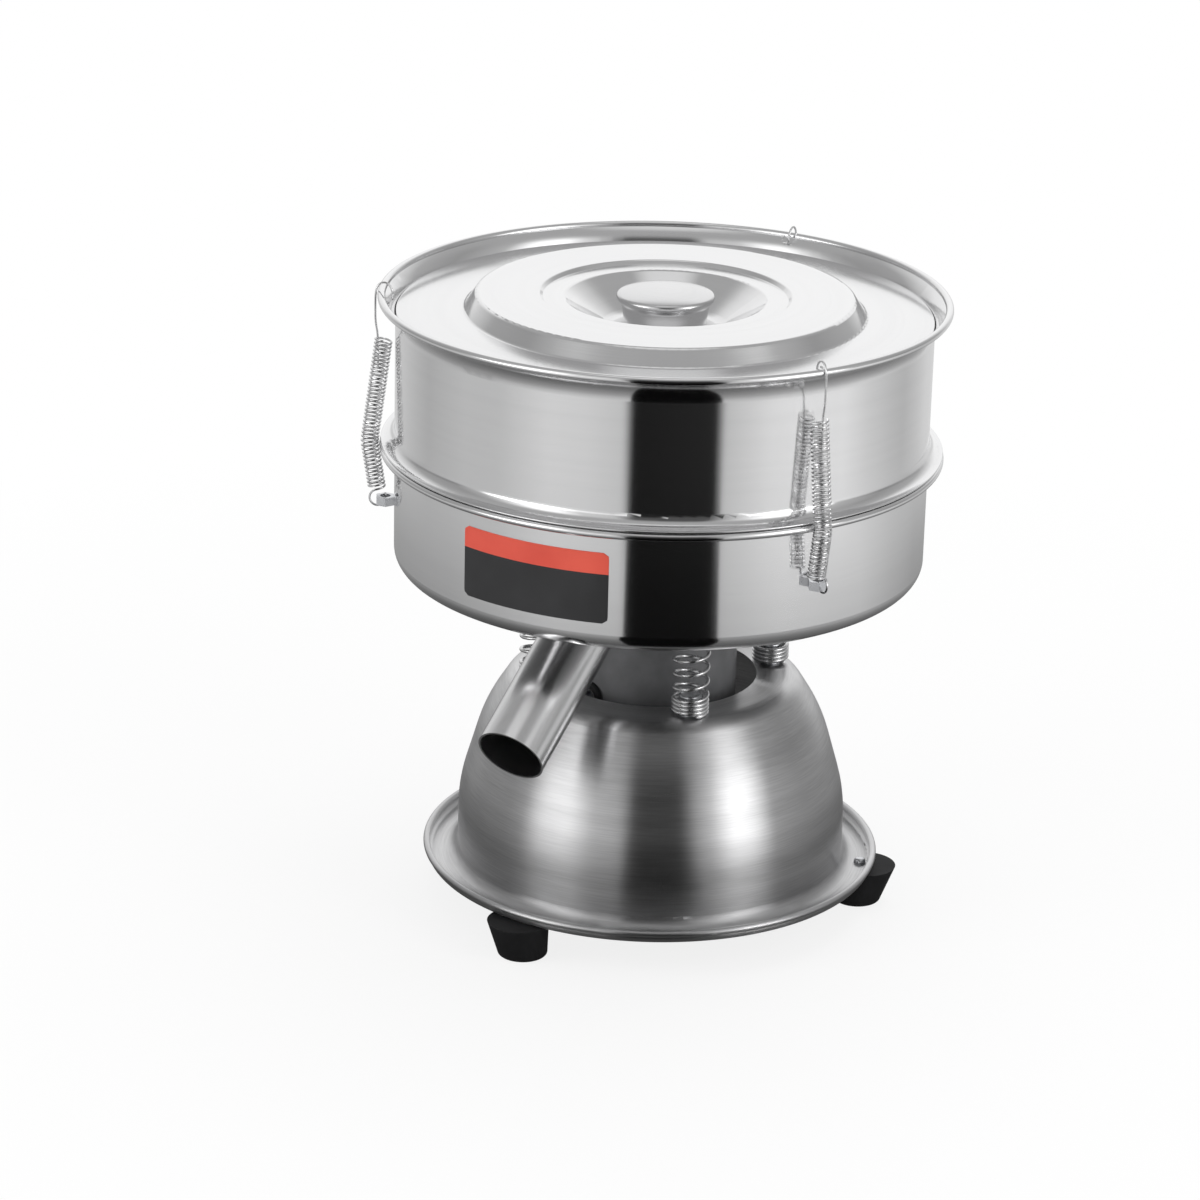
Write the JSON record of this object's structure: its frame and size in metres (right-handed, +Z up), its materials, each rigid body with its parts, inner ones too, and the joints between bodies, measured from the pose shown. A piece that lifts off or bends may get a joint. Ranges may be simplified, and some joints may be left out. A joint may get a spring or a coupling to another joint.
{
  "type": "vibrating sieve",
  "caption": "Small electric vibrating sieve: lidded steel drum clamped by hooked springs on a spring-mounted pan with an outlet spout, over a domed base with rubber feet.",
  "frame": {"origin": "on the floor under the axis of the drum, between the rubber feet", "axes": "+Z up along the drum axis; support springs lie on the X and Y axes; the spout points between -X and -Y"},
  "size_m": [0.3257, 0.3257, 0.3653],
  "materials": {
    "polished_steel": "mirror-polished stainless steel",
    "satin_steel": "satin-brushed stainless steel",
    "spring_steel": "bright drawn spring wire",
    "zinc_steel": "bright zinc plate",
    "black_rubber": "matt black rubber",
    "grey_paint": "satin dark grey paint",
    "silicone": "white silicone",
    "wire_cloth": "woven stainless wire",
    "core_steel": "bare laminated steel",
    "shaft_steel": "ground steel",
    "copper_wire": "enamelled copper wire"
  },
  "bodies": {
    "base": {"base_dome": "satin_steel", "rubber_foot_1": "black_rubber", "rubber_foot_2": "black_rubber", "rubber_foot_3": "black_rubber", "foot_screws": "zinc_steel", "foot_nuts": "zinc_steel", "lower_spring_pegs": "zinc_steel", "cord_inlet": "black_rubber", "support_spring_1": "spring_steel", "support_spring_2": "spring_steel", "support_spring_3": "spring_steel", "support_spring_4": "spring_steel"},
    "pan": {"lower_pan": "polished_steel", "outlet_spout": "polished_steel", "eye_nuts": "zinc_steel", "upper_spring_pegs": "zinc_steel", "motor_gasket": "black_rubber", "motor_flange": "grey_paint", "motor_housing": "grey_paint", "motor_cap": "grey_paint", "motor_bolts": "zinc_steel", "motor_nuts": "zinc_steel", "gland_grommet": "black_rubber", "gland_bush": "zinc_steel", "stator_core": "core_steel", "stator_windings": "copper_wire", "upper_bearing_bracket": "grey_paint", "lower_bearing_bracket": "grey_paint", "upper_bearing": "shaft_steel", "lower_bearing": "shaft_steel", "clamp_spring_1": "spring_steel", "clamp_spring_2": "spring_steel", "clamp_spring_3": "spring_steel"},
    "rotor": {"motor_shaft": "shaft_steel", "rotor_core": "core_steel", "upper_eccentric_weight": "core_steel", "lower_eccentric_weight": "core_steel", "upper_weight_screw": "zinc_steel", "lower_weight_screw": "zinc_steel"},
    "drum": {"sieve_drum": "polished_steel", "sieve_mesh": "wire_cloth", "screen_gasket": "silicone"},
    "hook_1": {"clamp_hook_1": "spring_steel"},
    "hook_2": {"clamp_hook_2": "spring_steel"},
    "hook_3": {"clamp_hook_3": "spring_steel"},
    "lid": {"lid": "polished_steel", "lid_knob": "polished_steel", "knob_screw": "zinc_steel"}
  },
  "joints": [
    {"name": "pan_bounce", "type": "slide", "parent": "base", "child": "pan", "axis": [0, 0, 1], "range_m": [-0.004, 0.004], "stiffness_N_per_m": 12000, "springref_m": 0.00539, "deforming": ["support_spring_1", "support_spring_2", "support_spring_3", "support_spring_4"]},
    {"name": "rotor_spin", "type": "hinge", "parent": "pan", "child": "rotor", "pos_m": [0, 0, 0.135], "axis": [0, 0, 1], "continuous": true},
    {"name": "drum_lift", "type": "slide", "parent": "pan", "child": "drum", "axis": [0, 0, 1], "range_m": [0, 0.03], "stiffness_N_per_m": 900, "springref_m": -0.03, "deforming": ["clamp_spring_1", "clamp_spring_2", "clamp_spring_3"]},
    {"name": "hook_1_lift", "type": "slide", "parent": "drum", "child": "hook_1", "axis": [0, 0, 1], "range_m": [0, 0.012], "stiffness_N_per_m": 100, "springref_m": -0.05, "deforming": ["clamp_spring_1"]},
    {"name": "hook_2_lift", "type": "slide", "parent": "drum", "child": "hook_2", "axis": [0, 0, 1], "range_m": [0, 0.012], "stiffness_N_per_m": 100, "springref_m": -0.05, "deforming": ["clamp_spring_2"]},
    {"name": "hook_3_lift", "type": "slide", "parent": "drum", "child": "hook_3", "axis": [0, 0, 1], "range_m": [0, 0.012], "stiffness_N_per_m": 100, "springref_m": -0.05, "deforming": ["clamp_spring_3"]},
    {"name": "lid_lift", "type": "slide", "parent": "drum", "child": "lid", "axis": [0, 0, 1], "range_m": [0, 0.15]}
  ]
}
